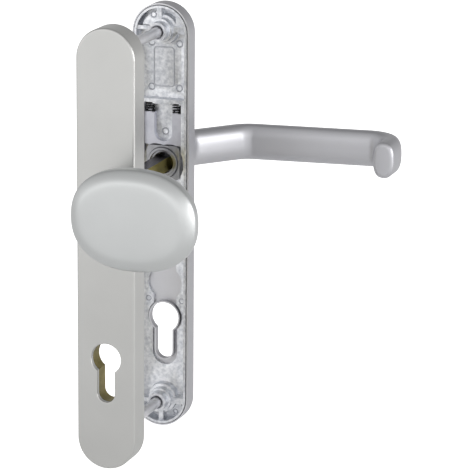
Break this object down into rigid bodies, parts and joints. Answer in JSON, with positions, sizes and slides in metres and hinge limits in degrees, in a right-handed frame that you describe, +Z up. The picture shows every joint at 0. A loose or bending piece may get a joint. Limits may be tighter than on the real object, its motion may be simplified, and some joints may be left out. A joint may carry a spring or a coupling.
{
  "type": "door furniture set",
  "caption": "Narrow long-plate door set with a fixed cranked oval knob outside, a sprung lever handle inside, square spindle and euro-profile cut-outs.",
  "frame": {"origin": "where the spindle axis crosses the plane of the door's outside face", "axes": "+X to the right seen from outside, +Y through the door into the room, +Z up along the plates"},
  "size_m": [0.1386, 0.2223, 0.248],
  "materials": {
    "satin_aluminium": "satin anodised, natural silver",
    "zinc_casting": "raw zinc die-casting, bright",
    "yellow_steel": "yellow passivated zinc plating",
    "bright_steel": "bright zinc plating",
    "spring_steel": "oiled black spring steel",
    "bearing_plastic": "moulded black bearing plastic"
  },
  "bodies": {
    "door_set": {"outer_cover": "satin_aluminium", "reinforcing_plate": "yellow_steel", "upper_post": "bright_steel", "lower_post": "bright_steel", "knob": "satin_aluminium", "knob_screw": "bright_steel", "knob_washer": "bright_steel", "knob_pin": "bright_steel", "inner_base": "zinc_casting", "inner_cover": "satin_aluminium", "upper_screw": "bright_steel", "lower_screw": "bright_steel", "upper_washer": "bright_steel", "lower_washer": "bright_steel", "lever_bush": "bearing_plastic", "left_spring": "spring_steel", "right_spring": "spring_steel"},
    "lever_unit": {"lever": "satin_aluminium", "spindle": "yellow_steel", "hub": "zinc_casting", "hub_clip": "spring_steel", "grub_screw": "spring_steel"},
    "slide": {"return_slide": "zinc_casting"}
  },
  "joints": [
    {"name": "lever_turn", "type": "hinge", "parent": "door_set", "child": "lever_unit", "pos_m": [0, 0.08, 0], "axis": [0, 1, 0], "range_deg": [0, 40], "stiffness_Nm_per_rad": 0.8, "springref_deg": -34.38},
    {"name": "slide_lift", "type": "slide", "parent": "door_set", "child": "slide", "axis": [0, 0, 1], "range_m": [0, 0.0028], "deforming": ["left_spring", "right_spring"]}
  ],
  "couplings": [
    {"joint": "slide_lift", "follows": "lever_turn", "m_per_rad": 0.003956}
  ]
}
